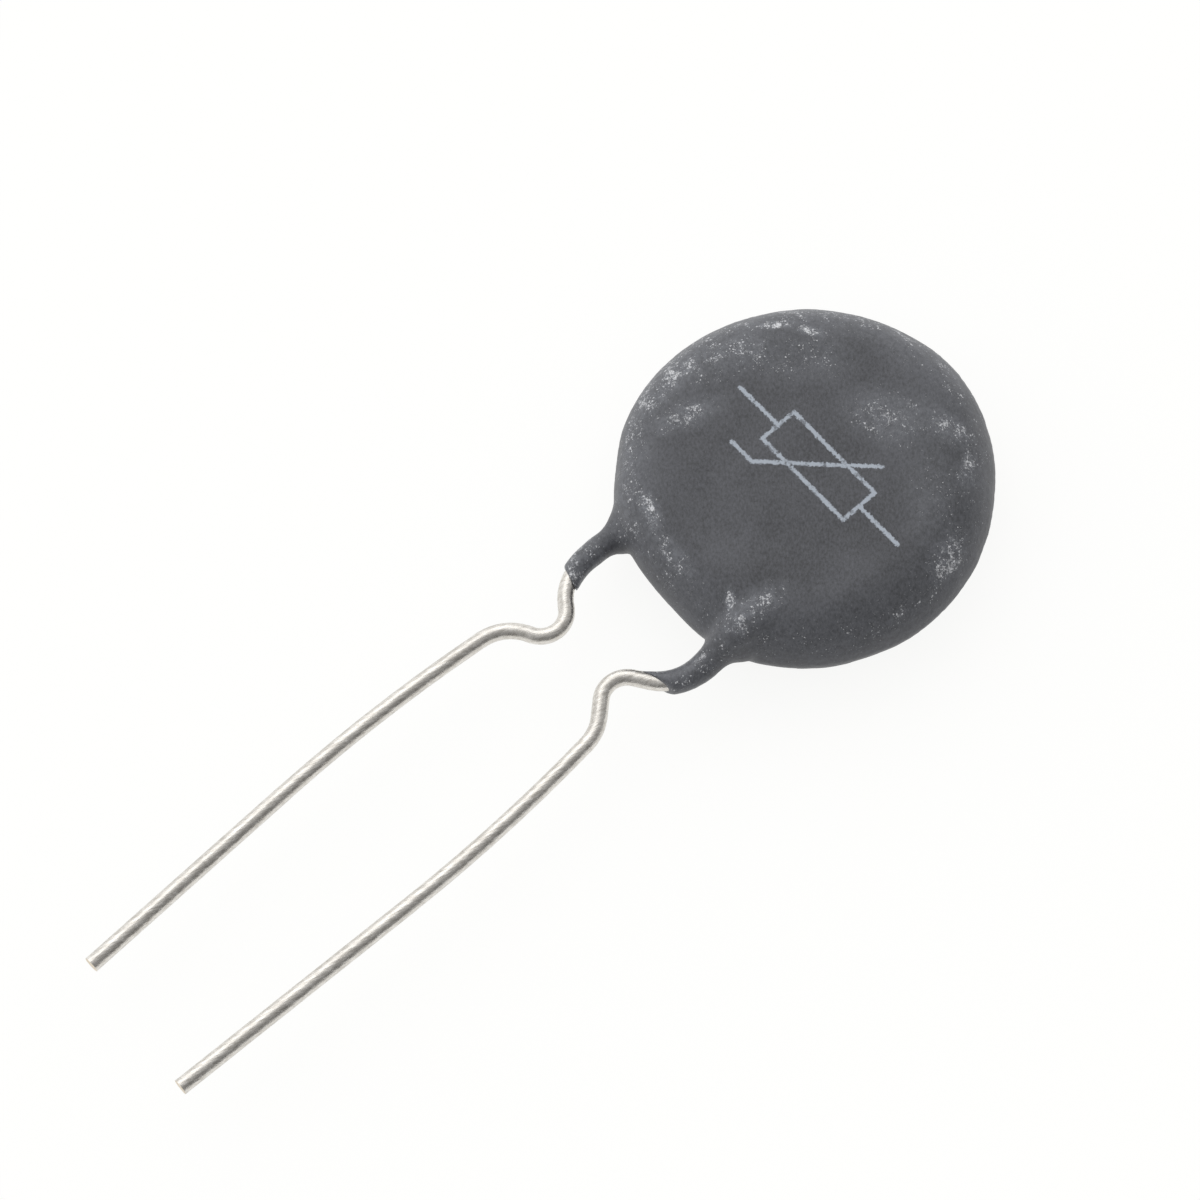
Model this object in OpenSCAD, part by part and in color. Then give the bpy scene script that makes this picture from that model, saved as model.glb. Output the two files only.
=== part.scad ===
// Disc thermistor with two kinked wire leads, lying on the back of its coating.
// Z = 0 is the surface it rests on, +Z comes out of the front face, and the leads run to -Y.
// Lead 0 is soldered to the front face and lead 1 to the back face.

/* [Ceramic disc] */
// Diameter of the sintered ceramic disc
ceramic_d = 15; // [12:0.5:18]
// Thickness of the ceramic disc
ceramic_t = 2.5; // [1.8:0.1:3.5]

/* [Electrodes] */
// Thickness of the fired silver on each face
electrode_t = 0.05; // [0.03:0.01:0.1]
// Bare ceramic left between the silver and the edge
electrode_margin = 0.3; // [0.2:0.05:0.6]

/* [Solder] */
// Solder film under the wire
solder_film = 0.05; // [0.03:0.01:0.1]
// Solder skin over the wire
solder_skin = 0.12; // [0.08:0.01:0.2]
// Width of the solder fillet on the electrode
solder_w = 2.6; // [2.2:0.1:3]

/* [Wire] */
// Diameter of the tinned wire
wire_d = 0.75; // [0.6:0.05:0.85]
// Angle of the slope that brings each wire from its face to the middle plane
crank_angle = 50; // [40:1:55]
// Centreline radius of the two bends of that slope
crank_r = 0.85; // [0.8:0.05:1]

/* [Legs] */
// Distance between the two wires where they lie on the disc
leg_pitch = 7.35; // [7.1:0.05:8]
// How far the middle of the two legs stands to the right of the disc's centre
leg_shift = -0.25; // [-0.5:0.05:0.1]
// Centreline radius of the bend at the end of each leg
leg_bend_r = 2.4; // [2:0.1:2.5]

/* [Kinks] */
// Distance from the disc's rim to the middle of the kinks
kink_drop = 4.15; // [4.1:0.05:5.5]
// Distance between the two wires at the kinks
kink_gap = 3.45; // [3.1:0.05:3.7]
// How far the middle of the two kinks stands to the right of the disc's centre
kink_shift = -0.5; // [-0.6:0.05:0.1]
// Centreline radius of the kinks
kink_r = 1.15; // [1:0.05:1.2]
// Slope of the wire as it enters the kink
kink_in = 56; // [51:1:57]
// Slope of the front wire as it leaves the kink
front_kink_out = 42.5; // [40:0.5:55]
// Slope of the back wire as it leaves the kink
back_kink_out = 62.5; // [50:0.5:63]

/* [Straight leads] */
// Distance between the two wires where they straighten out below the kinks
lead_pitch = 6.85; // [6.8:0.05:8]
// How far the middle of the straight leads stands to the right of the disc's centre
lead_shift = -0.75; // [-0.8:0.05:-0.5]
// Centreline radius of the bend below each kink
foot_r = 2.2; // [1.5:0.1:2.3]
// Outward slope of each wire below that bend
splay = 6; // [2:0.5:8]
// Radius of the slow bow that takes the splay out again
bow_r = 80; // [40:5:100]
// Inward slope of the front lead's straight end
front_toe_in = 1.75; // [0:0.25:3]
// Inward slope of the back lead's straight end
back_toe_in = 2; // [0:0.25:3]
// Distance from the disc's rim to the front lead's cut tip
front_free_length = 30.2; // [25:0.1:40]
// Distance from the disc's rim to the back lead's cut tip
back_free_length = 29.5; // [25:0.1:40]

/* [Coating] */
// Coating beyond the ceramic's edge
coat_rim = 1; // [0.6:0.1:1.5]
// Coating over the solder on each face
coat_skin = 0.28; // [0.2:0.02:0.5]
// Coating round the wire along each leg
leg_skin = 0.2; // [0.15:0.01:0.3]
// How far round the leg's bend the coating follows the front wire
front_leg_turn = 40; // [10:1:50]
// How far round the leg's bend the coating follows the back wire
back_leg_turn = 22; // [10:1:50]
// Radius of each leg's root where it opens into the disc
root_r = 1.25; // [1:0.05:1.4]
// Radius of the hollow flank of the root
root_fillet = 1.6; // [1.2:0.1:2]
// Length of the thin tail of coating at the end of each leg
coat_tail = 0.4; // [0.2:0.05:0.6]

/* [Hidden] */
$fn = 48;

FRONT = 0;
BACK = 1;

wire_r = wire_d / 2;
ceramic_r = ceramic_d / 2;
electrode_r = ceramic_r - electrode_margin;
solder_h = solder_film + wire_d + solder_skin;
half_t = ceramic_t / 2 + electrode_t + solder_h + coat_skin;
face_z = ceramic_t / 2 + electrode_t;
wire_z = face_z + solder_film + wire_r;
coat_r = ceramic_r + coat_rim;
leg_r = wire_r + leg_skin;

// Distances of each wire from the disc's own plane of symmetry, at its three levels
function sign_of(i) = i == FRONT ? 1 : -1;
function leg_x(i) = leg_pitch / 2 + sign_of(i) * leg_shift;
function kink_x(i) = kink_gap / 2 + sign_of(i) * kink_shift;
function foot_x(i) = lead_pitch / 2 + sign_of(i) * lead_shift;
kink_reach = coat_r + kink_drop;
function toe_in(i) = i == FRONT ? front_toe_in : back_toe_in;
function kink_out(i) = i == FRONT ? front_kink_out : back_kink_out;
function reach(i) = coat_r + (i == FRONT ? front_free_length : back_free_length);

// The solder ends where its round end still lies on the electrode, and the wire ends with it
solder_inset = 0.05;
function solder_end(i) = sqrt(pow(electrode_r - solder_w / 2 - solder_inset, 2) - pow(leg_x(i), 2));

// The crank starts where the wire passes the ceramic's edge
function crank_start(i) = sqrt(pow(ceramic_r, 2) - pow(leg_x(i) - wire_r, 2));
crank_slope = (wire_z - 2 * crank_r * (1 - cos(crank_angle))) / sin(crank_angle);
crank_len = 2 * crank_r * sin(crank_angle) + crank_slope * cos(crank_angle);

// Straight stretches between the bends, worked out from where each level of the wire stands
function entry_len(i) = (leg_x(i) - kink_x(i) - (leg_bend_r + kink_r) * (1 - cos(kink_in))) / sin(kink_in);
function leg_len(i) = kink_reach - crank_start(i) - crank_len
    - (leg_bend_r + kink_r) * sin(kink_in) - entry_len(i) * cos(kink_in);
function exit_len(i) = (foot_x(i) - kink_x(i) - kink_r * (1 - cos(kink_out(i)))
    - foot_r * (cos(splay) - cos(kink_out(i)))) / sin(kink_out(i));
function foot_y(i) = kink_reach + kink_r * sin(kink_out(i)) + exit_len(i) * cos(kink_out(i))
    + foot_r * (sin(kink_out(i)) - sin(splay));
function end_len(i) = (reach(i) - foot_y(i) - bow_r * (sin(splay) + sin(toe_in(i)))) / cos(toe_in(i));

// Bending list of one lead: straight length, bend angle, bend radius and side of the bend
TO_MIDDLE = 0;
OUTWARD = 90;
FROM_MIDDLE = 180;
INWARD = -90;
function bends(i) = [
    [solder_end(i) + crank_start(i), crank_angle, crank_r, TO_MIDDLE],
    [crank_slope, crank_angle, crank_r, FROM_MIDDLE],
    [leg_len(i), kink_in, leg_bend_r, INWARD],
    [entry_len(i), kink_in + kink_out(i), kink_r, OUTWARD],
    [exit_len(i), kink_out(i) - splay, foot_r, INWARD],
    [0, splay + toe_in(i), bow_r, INWARD],
    [end_len(i), 0, 0, 0],
];

// Puts a piece on its own face: the back face is the front one turned over about Y
module on_face(i) {
    translate([0, 0, half_t]) rotate([0, i * 180, 0]) children();
}

// Rod bent from straight stock, starting at the origin and running up Z. It thins a little in its
// bends, and each straight laps the bends beside it. What follows it is drawn at its end.
bend_thinning = 0.005;
lap = 0.05;
module bent_rod(list, radius, step = 0) {
    if (step == len(list)) children();
    else {
        length = list[step][0];
        angle = list[step][1];
        r = list[step][2];
        side = list[step][3];
        before = step == 0 ? 0 : lap;
        after = step == len(list) - 1 ? 0 : lap;
        translate([0, 0, -before]) cylinder(h = before + length + after, r = radius);
        translate([0, 0, length]) rotate([0, 0, side]) {
            if (angle > 0)
                translate([r, 0, 0]) rotate([0, 0, 180]) rotate([90, 0, 0]) rotate_extrude(angle = angle)
                    translate([r, 0]) circle(r = radius - bend_thinning);
            translate([r * (1 - cos(angle)), 0, r * sin(angle)]) rotate([0, angle, 0])
                rotate([0, 0, -side]) bent_rod(list, radius, step + 1) children();
        }
    }
}

// Starts a rod on a lead's run at a distance from the disc's centre line, heading for the tip,
// with its own X pointing at the middle plane
module along_lead(i, y) {
    on_face(i) translate([leg_x(i), y, wire_z]) rotate([90, 0, 0]) rotate([0, 0, -90]) children();
}

module lead(i) {
    along_lead(i, solder_end(i)) bent_rod(bends(i), wire_r);
}

// Fillet of solder over the wire: a bell-shaped section with round ends
bell_steps = 12;
function bell(x) = solder_h * (1 + cos(180 * x / (solder_w / 2))) / 2;
function bell_points(from) = [for (k = [from : bell_steps])
    let (x = solder_w / 2 * k / bell_steps) [x, bell(x)]];
module solder_mound(i) {
    on_face(i) translate([leg_x(i), 0, face_z]) {
        translate([0, solder_end(i), 0]) rotate([90, 0, 0])
            linear_extrude(2 * solder_end(i)) polygon(bell_points(-bell_steps));
        for (turn = [0, 180]) rotate([0, 0, turn]) translate([0, solder_end(i), 0])
            rotate_extrude(angle = 180) polygon(concat([[0, 0]], bell_points(0)));
    }
}

module solder(i) {
    difference() {
        solder_mound(i);
        lead(i);
    }
}

module electrode(i) {
    on_face(i) translate([0, 0, ceramic_t / 2]) cylinder(h = electrode_t, r = electrode_r);
}

module ceramic() {
    translate([0, 0, half_t - ceramic_t / 2]) cylinder(h = ceramic_t, r = ceramic_r);
}

// Coated disc with flat faces and a full round rim
flat_r = coat_r - half_t;
module coated_disc() {
    translate([0, 0, half_t]) rotate_extrude() {
        translate([0, -half_t]) square([flat_r, 2 * half_t]);
        translate([flat_r, 0]) intersection() {
            circle(r = half_t);
            translate([0, -half_t]) square([half_t, 2 * half_t]);
        }
    }
}

// Each leg of coating starts inside the disc, where the wire crosses the edge of the flat face
function leg_start(i) = sqrt(pow(flat_r, 2) - pow(leg_x(i), 2));

// Sleeve round the wire, part of the way round the leg's bend, where it thins out
tail_skin = 0.05;
function leg_turn(i) = i == FRONT ? front_leg_turn : back_leg_turn;
module leg_sleeve(i) {
    sleeve = [
        [crank_start(i) - leg_start(i), crank_angle, crank_r, TO_MIDDLE],
        [crank_slope, crank_angle, crank_r, FROM_MIDDLE],
        [leg_len(i), leg_turn(i), leg_bend_r, INWARD],
        [lap, 0, 0, 0],
    ];
    along_lead(i, -leg_start(i)) bent_rod(sleeve, leg_r)
        cylinder(h = coat_tail, r1 = leg_r, r2 = wire_r + tail_skin);
}

// Root that opens from the sleeve into the disc, with a hollow flank like a trumpet's
root_inset = 0.05;
root_z = half_t - root_inset - root_r;
root_end_z = crank_r * (1 - cos(crank_angle));
module leg_root(i) {
    run = crank_start(i) + crank_len - crank_r * sin(crank_angle) - leg_start(i);
    slope = atan2(root_z - root_end_z, run);
    length = norm([root_z - root_end_z, run]);
    on_face(i) translate([leg_x(i), -leg_start(i), root_z]) rotate([90 + slope, 0, 0])
        rotate_extrude() difference() {
            square([root_r, length]);
            translate([leg_r - bend_thinning + root_fillet, length]) circle(r = root_fillet);
        }
}

module coating() {
    color([0.33, 0.33, 0.35]) difference() {
        union() {
            coated_disc();
            for (i = [FRONT, BACK]) {
                leg_sleeve(i);
                leg_root(i);
            }
        }
        ceramic();
        for (i = [FRONT, BACK]) {
            electrode(i);
            solder_mound(i);
            lead(i);
        }
    }
}
module ceramic_disc() { color([0.25, 0.24, 0.23]) ceramic(); }
module front_electrode() { color([0.8, 0.79, 0.76]) electrode(FRONT); }
module back_electrode() { color([0.8, 0.79, 0.76]) electrode(BACK); }
module front_solder() { color([0.66, 0.67, 0.69]) solder(FRONT); }
module back_solder() { color([0.66, 0.67, 0.69]) solder(BACK); }
module front_lead() { color([0.75, 0.74, 0.72]) lead(FRONT); }
module back_lead() { color([0.75, 0.74, 0.72]) lead(BACK); }

coating();
ceramic_disc();
front_electrode();
back_electrode();
front_solder();
back_solder();
front_lead();
back_lead();
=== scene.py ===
"""Looks of a leaded disc thermistor that lies on its back, with its printed face up.

The shapes are worked in millimetres and brought to metres when each piece is finished.
"""
import math

import bpy
from mathutils import Euler, Matrix, Vector


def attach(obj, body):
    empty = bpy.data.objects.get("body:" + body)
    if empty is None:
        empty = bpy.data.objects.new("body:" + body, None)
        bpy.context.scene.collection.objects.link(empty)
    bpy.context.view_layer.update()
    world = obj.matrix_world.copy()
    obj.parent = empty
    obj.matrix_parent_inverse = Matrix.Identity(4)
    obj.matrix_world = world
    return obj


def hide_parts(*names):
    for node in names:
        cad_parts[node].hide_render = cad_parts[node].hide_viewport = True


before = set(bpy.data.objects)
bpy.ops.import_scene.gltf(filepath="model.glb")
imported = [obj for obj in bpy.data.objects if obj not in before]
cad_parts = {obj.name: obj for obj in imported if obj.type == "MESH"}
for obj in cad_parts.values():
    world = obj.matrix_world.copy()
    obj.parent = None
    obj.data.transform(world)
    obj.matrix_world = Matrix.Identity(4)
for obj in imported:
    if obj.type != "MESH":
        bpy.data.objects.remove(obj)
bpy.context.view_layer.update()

MM = 0.001
UP = Vector((0, 0, 1))

# Part sizes in millimetres, as the solids have them
HALF_T = 2.5
DISC_R = 8.5

bpy.context.scene.view_settings.view_transform = "Standard"

# Camera and light

VIEW_AZIMUTH = math.radians(47.5)
VIEW_ELEVATION = math.radians(66.5)
VIEW_DISTANCE = 0.25
VIEW_TARGET = Vector((0, 0, HALF_T * MM))
FOCAL_PIXELS = 5583.0
FRAME_PIXELS = 1200.0
DISC_PIXEL = (802.4, 487.3)
NEAR_CLIP = 0.01

# The one lamp: its place and its size in metres, and its power in watts
KEY_PLACE = (-0.3, 0.1, 0.4)
KEY_SIZE = 0.4
KEY_POWER = 0.4


def add_camera():
    """Looks at the disc from the photographed side, then turns until the disc stands off centre."""
    direction = Vector((
        math.sin(VIEW_AZIMUTH) * math.cos(VIEW_ELEVATION),
        -math.cos(VIEW_AZIMUTH) * math.cos(VIEW_ELEVATION),
        math.sin(VIEW_ELEVATION),
    ))
    pan = math.atan((DISC_PIXEL[0] - FRAME_PIXELS / 2) / FOCAL_PIXELS)
    tilt = math.atan((DISC_PIXEL[1] - FRAME_PIXELS / 2) / FOCAL_PIXELS)
    turn = Euler((math.pi / 2 - VIEW_ELEVATION, 0, VIEW_AZIMUTH)).to_matrix()
    turn = turn @ Matrix.Rotation(pan, 3, "Y") @ Matrix.Rotation(tilt, 3, "X")
    bpy.ops.object.camera_add(location=VIEW_TARGET + VIEW_DISTANCE * direction,
                              rotation=turn.to_euler())
    camera = bpy.context.object
    camera.data.lens_unit = "FOV"
    camera.data.angle = 2 * math.atan(FRAME_PIXELS / 2 / FOCAL_PIXELS)
    camera.data.clip_start = NEAR_CLIP
    bpy.context.scene.camera = camera


def add_lamp(name, place, size, power):
    """Square soft lamp that faces the part."""
    place = Vector(place)
    bpy.ops.object.light_add(type="AREA", location=place,
                             rotation=place.to_track_quat("Z", "Y").to_euler())
    lamp = bpy.context.object
    lamp.name = name
    lamp.data.size = size
    lamp.data.energy = power


# Modelling tools

def deselect():
    bpy.ops.object.select_all(action="DESELECT")


def only(piece):
    deselect()
    piece.select_set(True)
    bpy.context.view_layer.objects.active = piece


def apply_modifier(piece, kind, **settings):
    only(piece)
    modifier = piece.modifiers.new(kind.title(), kind)
    for key, value in settings.items():
        setattr(modifier, key, value)
    bpy.ops.object.modifier_apply(modifier=modifier.name)


def to_metres(piece):
    """Ends the work on a piece: its place goes into its mesh, in metres."""
    only(piece)
    bpy.ops.object.transform_apply(location=True, rotation=True, scale=True)
    piece.scale = (MM, MM, MM)
    bpy.ops.object.transform_apply(location=False, rotation=False, scale=True)
    bpy.ops.object.shade_smooth()


def sweep(name, stations):
    """Tube drawn by extruding a ring from station to station.

    A station is its centre and its radius.
    """
    points = [Vector(s[:3]) for s in stations]
    radii = [s[3] for s in stations]
    count = len(points)
    headings = [(points[min(k + 1, count - 1)] - points[max(k - 1, 0)]).normalized()
                for k in range(count)]
    deselect()
    start = UP.rotation_difference(headings[0]).to_euler()
    bpy.ops.mesh.primitive_circle_add(vertices=LEG_SIDES, radius=radii[0], fill_type="NGON",
                                      location=points[0], rotation=start)
    piece = bpy.context.object
    piece.name = name
    bpy.ops.object.transform_apply(location=True, rotation=True, scale=True)
    bpy.ops.object.mode_set(mode="EDIT")
    bpy.ops.mesh.select_all(action="SELECT")
    for k in range(1, count):
        step = points[k] - points[k - 1]
        bpy.ops.mesh.extrude_region_move(TRANSFORM_OT_translate={"value": step})
        growth = radii[k] / radii[k - 1]
        bpy.ops.transform.resize(value=(growth, growth, growth), center_override=points[k])
        turn = headings[k - 1].rotation_difference(headings[k]).to_euler()
        for axis, angle in zip("XYZ", turn):
            bpy.ops.transform.rotate(value=-angle, orient_axis=axis, center_override=points[k])
    bpy.ops.mesh.select_all(action="SELECT")
    bpy.ops.mesh.normals_make_consistent(inside=False)
    bpy.ops.object.mode_set(mode="OBJECT")
    return piece


def cut_off(piece, point, normal):
    """Cuts away what lies beyond a plane and closes the cut."""
    only(piece)
    bpy.ops.object.mode_set(mode="EDIT")
    bpy.ops.mesh.select_all(action="SELECT")
    bpy.ops.mesh.bisect(plane_co=point, plane_no=normal, use_fill=True, clear_outer=True)
    bpy.ops.object.mode_set(mode="OBJECT")


# Dipped coating, in millimetres

FACE_Z = 4.84
BACK_Z = 0.1
DIPPED_R = 8.38
BODY_SIDES = 128
RIM_BEVEL = 2.3
RIM_SEGMENTS = 8
LEG_SIDES = 32

# Where the rim departs from round: place, shift and reach
RIM_PUSHES = (
    ((0.6, DISC_R, HALF_T), (0.02, 0.32, 0), 6.5),
    ((-5.3, 6.7, HALF_T), (-0.05, 0.07, 0), 4.5),
    ((-0.8, -DISC_R, HALF_T), (0, 0.48, 0), 5.2),
    ((-6.0, -5.9, HALF_T), (0.13, 0.13, 0), 3.0),
)

# Centre and radius of each coated leg, from inside the disc to past its end
FRONT_LEG = (
    (3.5, -3.2, 3.3, 0.7), (3.5, -4.4, 3.7, 0.95), (3.5, -5.4, 3.79, 1.02),
    (3.5, -6.3, 3.82, 1.02), (3.5, -6.9, 3.74, 1.0), (3.5, -7.4, 3.52, 0.92),
    (3.48, -7.85, 3.2, 0.82), (3.46, -8.25, 2.87, 0.73), (3.45, -8.6, 2.67, 0.67),
    (3.43, -9.0, 2.53, 0.64), (3.41, -9.4, 2.5, 0.62), (3.35, -9.8, 2.5, 0.61),
    (3.23, -10.2, 2.5, 0.6), (3.04, -10.58, 2.5, 0.59), (2.8, -10.9, 2.5, 0.57),
    (2.52, -11.15, 2.5, 0.53), (2.2, -11.4, 2.5, 0.48), (1.85, -11.62, 2.5, 0.42),
)
BACK_LEG = (
    (-3.95, -3.2, 1.7, 0.7), (-3.95, -4.4, 1.3, 0.95), (-3.95, -5.4, 1.16, 1.02),
    (-3.95, -6.2, 1.16, 1.02), (-3.95, -6.7, 1.3, 0.98), (-3.96, -7.2, 1.58, 0.9),
    (-3.97, -7.65, 1.92, 0.8), (-3.96, -8.05, 2.22, 0.7), (-3.95, -8.45, 2.43, 0.65),
    (-3.95, -8.85, 2.5, 0.63), (-3.95, -9.3, 2.5, 0.61), (-3.92, -9.8, 2.5, 0.59),
    (-3.81, -10.3, 2.5, 0.57), (-3.62, -10.72, 2.5, 0.52), (-3.38, -11.1, 2.5, 0.47),
    (-3.1, -11.42, 2.5, 0.42),
)
# Coating that has gathered between each leg and the rim
FRONT_WEB = (
    (3.35, -4.4, 2.8, 1.1), (3.35, -5.6, 3.0, 1.45), (3.42, -6.5, 3.05, 1.48),
    (3.48, -7.1, 2.95, 1.3), (3.42, -7.5, 2.78, 1.13), (3.32, -7.9, 2.65, 0.9),
    (3.37, -8.3, 2.56, 0.69),
)
BACK_WEB = (
    (-3.9, -4.4, 2.2, 1.1), (-3.9, -5.6, 2.0, 1.4), (-3.95, -6.5, 1.95, 1.35),
    (-4.0, -7.05, 2.05, 1.05), (-4.0, -7.45, 2.2, 0.82), (-3.97, -7.9, 2.35, 0.66),
    (-3.95, -8.3, 2.45, 0.55),
)
# A point and the outward direction of the plane in which each leg ends
FRONT_CUT = ((2.59, -11.12, HALF_T), (0.24, -0.96, 0.15))
BACK_CUT = ((-3.5, -10.7, HALF_T), (-0.27, -0.95, -0.12))

VOXEL = 0.1
SMOOTHING_FACTOR = 0.5
SMOOTHINGS = 12
ROOT_SMOOTHINGS = 80
# A root's weight is cut off at 1, so that its middle is smoothed evenly
ROOT_GAIN = 1.6
# Where the coating has run together: middle and reach of each hollow
ROOTS = (
    ((3.5, -7.7, 3.2), 1.6), ((-3.2, -7.8, 2.3), 1.3), ((-4.6, -7.3, 2.2), 1.5),
    ((3.5, -4.6, 4.7), 2.8), ((3.4, -6.4, 4.5), 2.1),
)
# Unevenness of the skin: name, size, noise depth, height and middle level
LUMPS = (("slow_lumps", 2.6, 1, 0.1, 0.62), ("fine_lumps", 0.7, 2, 0.03, 0.55))


def push_rim(piece, place, shift, reach):
    """Moves the rim near a place, and less and less of it further away."""
    for vertex in piece.data.vertices:
        near = 1 - min(1, (vertex.co - Vector(place)).length / reach)
        vertex.co += Vector(shift) * near * near * (3 - 2 * near)


def disc_body():
    """Coated disc: a round slab with soft rims, fuller at the top and flatter between the legs."""
    deselect()
    bpy.ops.mesh.primitive_cylinder_add(vertices=BODY_SIDES, radius=DIPPED_R,
                                        depth=FACE_Z - BACK_Z,
                                        location=(0, 0, (FACE_Z + BACK_Z) / 2))
    body = bpy.context.object
    bpy.ops.object.transform_apply(location=True, rotation=True, scale=True)
    bpy.ops.object.mode_set(mode="EDIT")
    bpy.ops.mesh.select_all(action="SELECT")
    bpy.ops.mesh.bevel(offset=RIM_BEVEL, segments=RIM_SEGMENTS, profile=0.5, affect="EDGES")
    bpy.ops.object.mode_set(mode="OBJECT")
    for place, shift, reach in RIM_PUSHES:
        push_rim(body, place, shift, reach)
    return body


def soften_roots(piece):
    """Lets the coating run together where the legs leave the disc."""
    group = piece.vertex_groups.new(name="roots")
    for vertex in piece.data.vertices:
        weight = max(1 - (vertex.co - Vector(middle)).length / reach for middle, reach in ROOTS)
        if weight > 0:
            group.add([vertex.index], min(1, ROOT_GAIN * weight), "REPLACE")
    apply_modifier(piece, "SMOOTH", factor=SMOOTHING_FACTOR, iterations=ROOT_SMOOTHINGS,
                   vertex_group="roots")
    piece.vertex_groups.clear()


def roughen(piece):
    """Gives the skin its lumps."""
    for name, size, depth, height, middle in LUMPS:
        texture = bpy.data.textures.new(name, "CLOUDS")
        texture.noise_scale = size
        texture.noise_depth = depth
        apply_modifier(piece, "DISPLACE", texture=texture, texture_coords="LOCAL",
                       strength=height, mid_level=middle)


def dipped_coating():
    body = disc_body()
    front = sweep("front_leg", FRONT_LEG)
    cut_off(front, *FRONT_CUT)
    back = sweep("back_leg", BACK_LEG)
    cut_off(back, *BACK_CUT)
    webs = [sweep("front_web", FRONT_WEB), sweep("back_web", BACK_WEB)]
    only(body)
    for part in (front, back, *webs):
        part.select_set(True)
    bpy.ops.object.join()
    body.name = "dipped_coating"
    apply_modifier(body, "REMESH", mode="VOXEL", voxel_size=VOXEL, adaptivity=0)
    apply_modifier(body, "SMOOTH", factor=SMOOTHING_FACTOR, iterations=SMOOTHINGS)
    soften_roots(body)
    roughen(body)
    to_metres(body)
    return body


# Shader tools

def new_material(name):
    material = bpy.data.materials.new(name)
    material.use_nodes = True
    tree = material.node_tree
    return material, tree, tree.nodes["Principled BSDF"]


def fill(tree, made, inputs):
    """Sets a node's inputs. Each is a number, a colour, or another node's output to join to it."""
    for key, value in dict(inputs).items():
        socket = made.inputs[key]
        if isinstance(value, bpy.types.NodeSocket):
            tree.links.new(value, socket)
        else:
            socket.default_value = value


def add_node(tree, kind, inputs=(), **settings):
    made = tree.nodes.new(kind)
    for key, value in settings.items():
        setattr(made, key, value)
    fill(tree, made, inputs)
    return made


def maths(tree, operation, *values, clamp=False):
    return add_node(tree, "ShaderNodeMath", enumerate(values), operation=operation,
                    use_clamp=clamp).outputs[0]


def vectors(tree, operation, *values, output=0):
    return add_node(tree, "ShaderNodeVectorMath", enumerate(values),
                    operation=operation).outputs[output]


def scaled(tree, vector, scale):
    return add_node(tree, "ShaderNodeVectorMath", {0: vector, "Scale": scale},
                    operation="SCALE").outputs[0]


def turned(tree, vector, angle):
    return add_node(tree, "ShaderNodeVectorRotate", {"Vector": vector, "Angle": angle},
                    rotation_type="Z_AXIS").outputs[0]


def coordinates(tree, vector):
    return add_node(tree, "ShaderNodeSeparateXYZ", {0: vector}).outputs


def millimetres(tree, turn=0.0, stretch=(1, 1, 1)):
    """Place on the piece, in millimetres, turned about Z and then stretched."""
    where = add_node(tree, "ShaderNodeTexCoord").outputs["Object"]
    scale = [1 / MM * s for s in stretch]
    return add_node(tree, "ShaderNodeMapping",
                    {"Vector": turned(tree, where, turn), "Scale": scale}).outputs[0]


def noise(tree, where, scale, detail, rough, output="Fac"):
    made = add_node(tree, "ShaderNodeTexNoise", {"Vector": where, "Scale": scale,
                                                 "Detail": detail, "Roughness": rough})
    return made.outputs[output]


def ramp(tree, value, low, high, to_low=0.0, to_high=1.0):
    """Brings a value from one range to another, and holds it inside the new one."""
    made = add_node(tree, "ShaderNodeMapRange", {"Value": value, "From Min": low, "From Max": high,
                                                 "To Min": to_low, "To Max": to_high})
    return made.outputs[0]


def blend(tree, mask, under, over):
    """Mixes two colours. The colour mixer's own sockets have these numbers."""
    return add_node(tree, "ShaderNodeMix", {0: mask, 6: under, 7: over},
                    data_type="RGBA").outputs[2]


def greatest(tree, values):
    result = values[0]
    for value in values[1:]:
        result = maths(tree, "MAXIMUM", result, value)
    return result


def bump(tree, height, depth):
    """Relief of a given depth in millimetres."""
    return add_node(tree, "ShaderNodeBump", {"Height": height, "Distance": depth * MM,
                                             "Strength": 1.0}).outputs[0]


def grey(level, tint=(1, 1, 1)):
    return (level * tint[0], level * tint[1], level * tint[2], 1)


def new_group(name, inputs, outputs):
    """Node group with named sockets. Returns its tree, its given values and its results."""
    tree = bpy.data.node_groups.new(name, "ShaderNodeTree")
    for way, sockets in (("INPUT", inputs), ("OUTPUT", outputs)):
        for label, kind in sockets:
            tree.interface.new_socket(label, in_out=way, socket_type=kind)
    return tree, tree.nodes.new("NodeGroupInput").outputs, tree.nodes.new("NodeGroupOutput").inputs


def use_group(tree, group, inputs):
    return add_node(tree, "ShaderNodeGroup", inputs, node_tree=group).outputs[0]


def dress(piece, material):
    piece.data.materials.clear()
    piece.data.materials.append(material)


# Finish of the coating. Lengths are in millimetres, and a noise is its scale per millimetre,
# its detail and its roughness.

COAT_TINT = (0.97, 1, 1.13)
COAT_DARK = grey(0.035, COAT_TINT)
COAT_PALE = grey(0.096, COAT_TINT)
GRAIN_LIE = (math.radians(-47), (1.3, 0.8, 1))
GRAIN = (7.0, 6.0, 0.75)
CLOUDING = (0.35, 2.0, 0.5)
SHEEN = 0.15
SHEEN_ROUGHNESS = 0.45
COAT_RELIEF = 0.01

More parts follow.
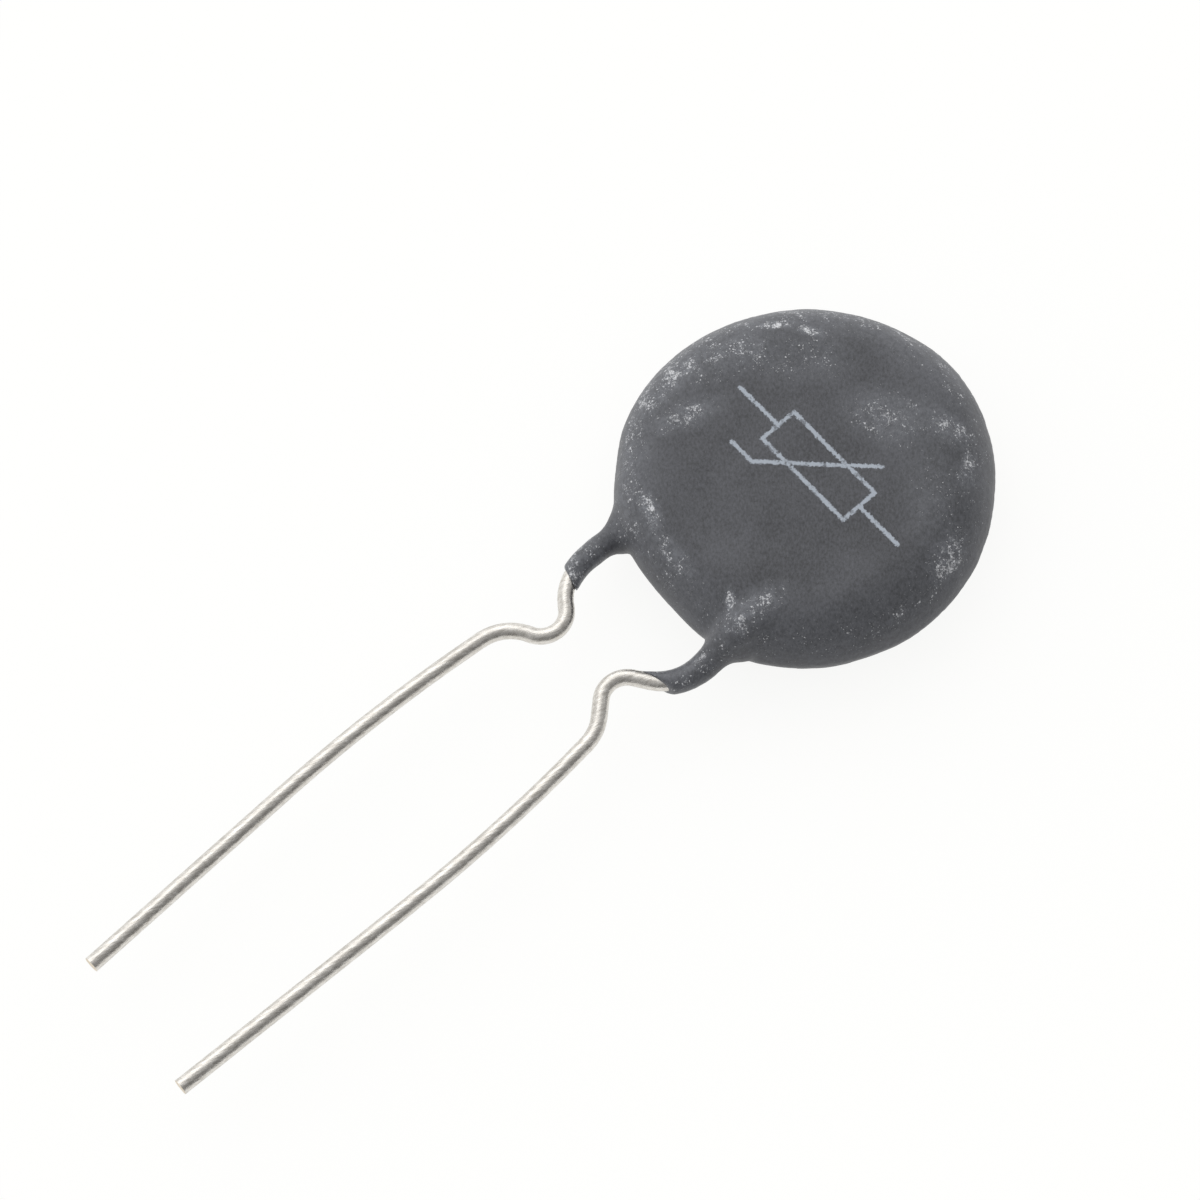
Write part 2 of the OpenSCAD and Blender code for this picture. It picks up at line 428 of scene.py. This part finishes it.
# Patches of scuffed dust film, and a few broad ones of painted light: middle on the face, turn in
# degrees, half length and half width, amount
SCUFF_AND_LIGHT_PATCHES = (
    ((-7.2, -3.2), 75, (2.8, 1.0), 0.85), ((-7.3, -0.8), 95, (2.4, 1.1), 1.05),
    ((-6.2, 1.6), 60, (2.6, 1.6), 0.8), ((-5.4, -2.2), 70, (2.6, 1.0), 0.9),
    ((-6.1, 3.9), 48, (1.6, 0.5), 1.15), ((-4.7, 4.8), 30, (1.2, 0.45), 1.05),
    ((0.9, 4.6), 35, (2.9, 1.8), 0.85), ((2.9, 6.1), 20, (2.5, 1.1), 0.9),
    ((5.0, 5.3), -55, (1.6, 0.7), 0.95), ((7.4, 2.0), -70, (2.3, 1.1), 0.9),
    ((8.1, -2.0), -80, (2.0, 0.7), 0.65), ((-3.1, -6.4), -20, (1.6, 0.7), 1.25),
    ((-0.8, -7.0), -5, (2.1, 0.7), 1.0), ((2.6, -6.7), -43, (0.9, 0.35), 1.2),
    ((3.7, -7.3), 40, (1.0, 0.4), 0.95), ((3.5, -6.2), 80, (2.6, 1.0), 0.95),
    ((-4.4, -9.0), 85, (2.2, 0.45), 0.6), ((3.1, -9.4), 75, (1.5, 0.4), 0.95),
    # The two broad faint patches on this line brighten the upper left of the face, where the light
    # falls, with a film that is partly painted light; the last patch on the next line, at (4.9,
    # 3.6), lifts the shade on the right of the face and is painted light
    ((-4.2, 3.4), 45, (3.6, 1.8), 0.5), ((-6.9, 0.6), 70, (3.2, 2.0), 0.7),
    ((-4.1, -10.2), 60, (0.8, 0.6), 0.85), ((4.9, 3.6), -50, (3.2, 2.0), 0.4),
)
PATCH_HEART = 0.35
# The rim carries a pale film from the first radius to the second, partly dust and partly painted
# light, most on the side that faces this way, towards the bright wall
DUSTY_LIT_RIM = (6.2, 8.2)
RIM_LIGHT_WAY = (-1, 0.1, 0)
RAGGED = (1.1, 5.0, 0.8)

# Pale film: dust, and painted light where it brightens the rim towards the bright wall and the
# broad patches
FILM_AND_LIGHT_COLOUR = grey(0.32, (0.93, 0.98, 1.08))
SMUDGE = (3.2, 7.0, 0.85)

DUST_COLOUR = grey(0.72, (0.98, 0.99, 1.02))
DUST_COVER = 0.9
SPECKS_PER_MM = 9.0
SPECK_EDGE = (12.0, 3.0, 0.8)
SPECK_SHAKE = 0.22
SPECK_SIZE = 0.62
SPECK_COVER = 0.8
LEAST_WEAR = 0.04
CRUMBS = (14.0, 3.0, 0.8)
# Fine scratches in two directions: turn and stretch, then the noise
SCRATCHES = (
    ((math.radians(35), (1, 9, 1)), (2.2, 3.0, 0.75)),
    ((math.radians(-60), (1, 8, 1)), (2.6, 3.0, 0.75)),
)
SCRATCH_THRESHOLD = 0.8
SCRATCH_REACH = 0.25
SCRATCH_CONTRAST = 8.0

# The printed symbol: strokes between points on the face
FACE_MARK = (
    ((-4.7, 0.55), (-2.2, 0.55)), ((3.1, 0.55), (5.6, 0.55)), ((-2.2, -0.4), (3.1, -0.4)),
    ((-2.2, 1.5), (3.1, 1.5)), ((-2.2, -0.4), (-2.2, 1.5)), ((3.1, -0.4), (3.1, 1.5)),
    ((-1.7, -1.5), (2.4, 2.6)), ((-3.0, -1.5), (-1.7, -1.5)),
)
STROKE_HALF = 0.11
INK_COLOUR = grey(0.44, (0.9, 1.0, 1.14))
INK_EDGE = (9.0, 3.0, 0.7)
INK_GAPS = (3.0, 4.0, 0.7)


def patch_group():
    """Weight of a patch, which is scuffing for most and painted light for a few broad ones: its
    full amount in its heart and 0 outside an oval.
    """
    tree, given, result = new_group("scuff_and_light_patch", (
        ("Place", "NodeSocketVector"), ("Middle", "NodeSocketVector"),
        ("Turn", "NodeSocketFloat"), ("Half Size", "NodeSocketVector"),
        ("Amount", "NodeSocketFloat")), (("Weight", "NodeSocketFloat"),))
    away = turned(tree, vectors(tree, "SUBTRACT", given["Place"], given["Middle"]), given["Turn"])
    far = vectors(tree, "LENGTH", vectors(tree, "DIVIDE", away, given["Half Size"]),
                  output="Value")
    weight = maths(tree, "MULTIPLY", ramp(tree, far, 1.0, PATCH_HEART), given["Amount"])
    tree.links.new(weight, result[0])
    return tree


def speck_group():
    """Mask of small chips, one to a cell. Chips are wider where the given mask of scuffing and
    painted light is higher.
    """
    tree, given, result = new_group("dust_specks", (
        ("Place", "NodeSocketVector"), ("Wear", "NodeSocketFloat")),
        (("Mask", "NodeSocketFloat"),))
    shake = scaled(tree, noise(tree, given["Place"], *SPECK_EDGE, "Color"), SPECK_SHAKE)
    cells = add_node(tree, "ShaderNodeTexVoronoi", {
        "Vector": vectors(tree, "ADD", given["Place"], shake), "Scale": SPECKS_PER_MM})
    chance = add_node(tree, "ShaderNodeSeparateColor", {0: cells.outputs["Color"]}).outputs[0]
    size = maths(tree, "MULTIPLY", maths(tree, "MULTIPLY", chance, chance), given["Wear"])
    inside = maths(tree, "SUBTRACT", maths(tree, "MULTIPLY", size, SPECK_SIZE),
                   cells.outputs["Distance"])
    tree.links.new(ramp(tree, inside, -0.04, 0.08), result[0])
    return tree


def stroke_group():
    """Mask of a printed stroke between two points on the face."""
    tree, given, result = new_group("printed_stroke", (
        ("Place", "NodeSocketVector"), ("Start", "NodeSocketVector"),
        ("End", "NodeSocketVector"), ("Half Width", "NodeSocketFloat"),
        ("Fray", "NodeSocketFloat")), (("Mask", "NodeSocketFloat"),))
    along = vectors(tree, "SUBTRACT", given["End"], given["Start"])
    away = vectors(tree, "SUBTRACT", given["Place"], given["Start"])
    share = maths(tree, "DIVIDE", vectors(tree, "DOT_PRODUCT", away, along, output="Value"),
                  vectors(tree, "DOT_PRODUCT", along, along, output="Value"), clamp=True)
    far = vectors(tree, "LENGTH", vectors(tree, "SUBTRACT", away, scaled(tree, along, share)),
                  output="Value")
    inside = maths(tree, "ADD", maths(tree, "SUBTRACT", given["Half Width"], far), given["Fray"])
    tree.links.new(ramp(tree, inside, -0.015, 0.03), result[0])
    return tree


def wear_and_painted_light(tree, where, flat, along, height):
    """How much dust film and scuffing each place has, with painted light added on the rim's side
    towards the bright wall and on a few broad patches, and the same broken up into ragged patches.

    The sides get less of it than the face, but the legs get it all round.
    """
    patch = patch_group()
    weights = [use_group(tree, patch, {
        "Place": flat, "Middle": (*middle, 0), "Turn": -math.radians(turn),
        "Half Size": (*half, 1), "Amount": amount,
    }) for middle, turn, half, amount in SCUFF_AND_LIGHT_PATCHES]
    # Rim film: partly dust and partly painted light, strongest on the side towards the bright wall
    side = vectors(tree, "DOT_PRODUCT", vectors(tree, "NORMALIZE", flat), RIM_LIGHT_WAY,
                   output="Value")
    rim = maths(tree, "MULTIPLY",
                ramp(tree, vectors(tree, "LENGTH", flat, output="Value"), *DUSTY_LIT_RIM),
                ramp(tree, side, -0.6, 0.8, 0.5, 1.0))
    facing = maths(tree, "MAXIMUM", ramp(tree, height, 2.4, 3.9, 0.3, 1.0),
                   ramp(tree, along, -8.4, -8.8))
    rubbed_and_lit = maths(tree, "MULTIPLY", greatest(tree, weights + [rim]), facing)
    ragged = ramp(tree, noise(tree, where, *RAGGED), 0.4, 0.6, 0.2, 1.25)
    return rubbed_and_lit, maths(tree, "MULTIPLY", rubbed_and_lit, ragged)


def dust_mask(tree, where, worn_and_lit):
    """Chips, crumbs and fine scratches, closer together where the mask of scuffing and painted
    light is higher.
    """
    specks = use_group(tree, speck_group(), {
        "Place": where, "Wear": maths(tree, "ADD", worn_and_lit, LEAST_WEAR)})
    marks = [noise(tree, millimetres(tree, *lie), *kind) for lie, kind in SCRATCHES]
    marks.append(noise(tree, where, *CRUMBS))
    limit = maths(tree, "SUBTRACT", SCRATCH_THRESHOLD,
                  maths(tree, "MULTIPLY", worn_and_lit, SCRATCH_REACH))
    scratched = maths(tree, "MULTIPLY", maths(tree, "SUBTRACT", greatest(tree, marks), limit),
                      SCRATCH_CONTRAST, clamp=True)
    return maths(tree, "MAXIMUM", maths(tree, "MULTIPLY", specks, SPECK_COVER), scratched)


def ink_mask(tree, where, flat, height):
    """The printed symbol, frayed at its edges and thin in places."""
    stroke = stroke_group()
    fray = ramp(tree, noise(tree, where, *INK_EDGE), 0.3, 0.7, -0.07, 0.05)
    strokes = [use_group(tree, stroke, {
        "Place": flat, "Start": (*start, 0), "End": (*end, 0), "Half Width": STROKE_HALF,
        "Fray": fray,
    }) for start, end in FACE_MARK]
    on_face = ramp(tree, height, 4.0, 4.1)
    cover = ramp(tree, noise(tree, where, *INK_GAPS), 0.36, 0.46, 0.25, 0.85)
    return maths(tree, "MULTIPLY", maths(tree, "MULTIPLY", greatest(tree, strokes), on_face),
                 cover)


def coating_material():
    material, tree, shader = new_material("dipped_coating")
    where = millimetres(tree)
    flat = vectors(tree, "MULTIPLY", where, (1, 1, 0))
    _, along, height = coordinates(tree, where)
    grain = noise(tree, millimetres(tree, *GRAIN_LIE), *GRAIN)
    clouding = noise(tree, where, *CLOUDING)
    tone = maths(tree, "ADD", ramp(tree, grain, 0.3, 0.7, -0.6, 0.6),
                 ramp(tree, clouding, 0.3, 0.7, -0.2, 0.2))
    colour = blend(tree, maths(tree, "ADD", tone, 0.5, clamp=True), COAT_DARK, COAT_PALE)

    rubbed_and_lit, worn_and_lit = wear_and_painted_light(tree, where, flat, along, height)
    dust = dust_mask(tree, where, worn_and_lit)
    smudge = ramp(tree, noise(tree, where, *SMUDGE), 0.46, 0.58, 0.12, 0.32)
    # Pale film over the coat: dust film, and painted light on the lit side of the rim and on a few
    # broad patches
    colour = blend(tree, maths(tree, "MULTIPLY", rubbed_and_lit, smudge), colour, FILM_AND_LIGHT_COLOUR)
    colour = blend(tree, maths(tree, "MULTIPLY", dust, DUST_COVER), colour, DUST_COLOUR)
    colour = blend(tree, ink_mask(tree, where, flat, height), colour, INK_COLOUR)

    rough = maths(tree, "ADD", ramp(tree, grain, 0.3, 0.7, 0.46, 0.62),
                  maths(tree, "MULTIPLY", dust, 0.2))
    glossy_legs = ramp(tree, along, -9.3, -8.0, -0.16, 0.0)
    relief = maths(tree, "ADD", grain, maths(tree, "MULTIPLY", dust, 0.6))
    fill(tree, shader, {
        "Base Color": colour,
        "Roughness": maths(tree, "ADD", rough, glossy_legs),
        "Sheen Weight": SHEEN,
        "Sheen Roughness": SHEEN_ROUGHNESS,
        "Normal": bump(tree, relief, COAT_RELIEF),
    })
    return material


# Finish of the wires

TIN_DARK = grey(0.54, (1, 0.95, 0.87))
TIN_PALE = grey(0.82, (1, 0.965, 0.91))
TIN_BRIGHT = grey(0.95, (1, 0.98, 0.945))
TIN_DULL = grey(0.46, (1, 0.95, 0.875))
BARE_CORE = grey(0.7, (1, 0.84, 0.6))
DRAWN_TURN = math.radians(18)
WIRE_RELIEF = 0.014


def wire_material():
    """Drawn wire under a thin coat of tin, with the bare core showing where it is cut."""
    material, tree, shader = new_material("tinned_wire")
    drawn = noise(tree, millimetres(tree, DRAWN_TURN, (6, 0.6, 6)), 1.5, 4.0, 0.7)
    flecks = noise(tree, millimetres(tree, DRAWN_TURN, (1.2, 0.4, 1.2)), 11.0, 3.0, 0.75)
    blotches = noise(tree, millimetres(tree), 1.3, 3.0, 0.6)
    tin = blend(tree, ramp(tree, drawn, 0.35, 0.65), TIN_DARK, TIN_PALE)
    tin = blend(tree, ramp(tree, flecks, 0.52, 0.68, 0, 0.7), tin, TIN_BRIGHT)
    tin = blend(tree, ramp(tree, blotches, 0.5, 0.7, 0, 0.35), tin, TIN_DULL)
    normal = add_node(tree, "ShaderNodeNewGeometry").outputs["Normal"]
    towards_cut = vectors(tree, "DOT_PRODUCT", normal, (0, -1, 0), output="Value")
    relief = maths(tree, "ADD", drawn, maths(tree, "MULTIPLY", flecks, 0.5))
    fill(tree, shader, {
        "Base Color": blend(tree, ramp(tree, towards_cut, 0.93, 0.97), tin, BARE_CORE),
        "Roughness": ramp(tree, flecks, 0.3, 0.7, 0.2, 0.38),
        "Normal": bump(tree, relief, WIRE_RELIEF),
        "Metallic": 1.0,
    })
    return material


# Finish of the hidden pieces

ROUGHNESS_SPREAD = 0.08


def plain_material(name, low, high, scale, rough, metallic=0.0, relief=0.01):
    """Two tones in a grain, with a little relief."""
    material, tree, shader = new_material(name)
    grain = noise(tree, millimetres(tree), scale, 4.0, 0.6)
    fill(tree, shader, {
        "Base Color": blend(tree, grain, low, high),
        "Roughness": ramp(tree, grain, 0.3, 0.7, rough - ROUGHNESS_SPREAD,
                          rough + ROUGHNESS_SPREAD),
        "Normal": bump(tree, grain, relief),
        "Metallic": metallic,
    })
    return material


# Surroundings

PAPER_TINT = (1, 1, 0.99)
FLOOR_SIZE = 3.0
FLOOR_Z = -0.00002
# Share of the floor's own glow, which takes no shadow, as the camera and as mirrors see it
GLOW_SEEN = 0.9
GLOW_MIRRORED = 0.97

WALL_WAY = (-0.98, 0.2, 0.0)
WALL_DIM = grey(0.36)
WALL_BRIGHT = grey(1.75)
OVERHEAD = grey(0.8)
MIRRORED_DIM = grey(0.24)
MIRRORED_BRIGHT = grey(1.05)


def pale_floor():
    """Sheet of white paper that glows a little, so that it stays white around the part."""
    deselect()
    bpy.ops.mesh.primitive_plane_add(size=FLOOR_SIZE, location=(0, 0, FLOOR_Z))
    floor = bpy.context.object
    floor.name = "pale_floor"
    material, tree, shader = new_material("pale_floor")
    rays = add_node(tree, "ShaderNodeLightPath").outputs
    fill(tree, shader, {
        "Base Color": blend(tree, rays["Is Camera Ray"], grey(0.6, PAPER_TINT),
                            grey(0.97, PAPER_TINT)),
        "Roughness": 0.9,
    })
    share = maths(tree, "MAXIMUM", maths(tree, "MULTIPLY", rays["Is Camera Ray"], GLOW_SEEN),
                  maths(tree, "MULTIPLY", rays["Is Glossy Ray"], GLOW_MIRRORED))
    glow = add_node(tree, "ShaderNodeEmission", {"Color": grey(1.0, PAPER_TINT), "Strength": 1.0})
    mixed = add_node(tree, "ShaderNodeMixShader", {0: share, 1: shader.outputs[0],
                                                   2: glow.outputs[0]})
    fill(tree, tree.nodes["Material Output"], {"Surface": mixed.outputs[0]})
    dress(floor, material)


def studio_world():
    """White light tent, brightest on the left wall and dimmest on the right.

    Overhead, where the lens looks in, it gives an even light. Mirrors see the walls alone, less
    bright, and the camera sees plain white.
    """
    world = bpy.data.worlds.new("studio")
    bpy.context.scene.world = world
    world.use_nodes = True
    tree = world.node_tree
    way = add_node(tree, "ShaderNodeTexCoord").outputs["Generated"]
    side = vectors(tree, "DOT_PRODUCT", way, WALL_WAY, output="Value")
    height = coordinates(tree, way)[2]
    walls = blend(tree, ramp(tree, side, -0.9, 0.9), WALL_DIM, WALL_BRIGHT)
    lit = blend(tree, ramp(tree, height, 0.45, 0.95), walls, OVERHEAD)
    mirrored = blend(tree, ramp(tree, side, -0.75, 0.95), MIRRORED_DIM, MIRRORED_BRIGHT)
    rays = add_node(tree, "ShaderNodeLightPath").outputs
    colour = blend(tree, rays["Is Glossy Ray"], lit, mirrored)
    colour = blend(tree, rays["Is Camera Ray"], colour, grey(1.0))
    fill(tree, tree.nodes["Background"], {"Color": colour, "Strength": 1.0})


add_camera()
studio_world()
add_lamp("key", KEY_PLACE, KEY_SIZE, KEY_POWER)
pale_floor()

coating = dipped_coating()
dress(coating, coating_material())
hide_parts("coating")
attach(coating, "root")

tinned = wire_material()
ceramic = plain_material("sintered_ceramic", grey(0.03), grey(0.07, (1, 0.94, 0.86)), 6.0, 0.7)
silver = plain_material("fired_silver", grey(0.6), grey(0.8, (1, 0.98, 0.94)), 9.0, 0.42, 1.0)
solder = plain_material("solder", grey(0.5), grey(0.68, (1, 0.99, 0.98)), 2.0, 0.3, 1.0, 0.02)
for node, finish in {
    "front_lead": tinned, "back_lead": tinned, "ceramic_disc": ceramic,
    "front_electrode": silver, "back_electrode": silver, "front_solder": solder,
    "back_solder": solder,
}.items():
    dress(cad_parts[node], finish)
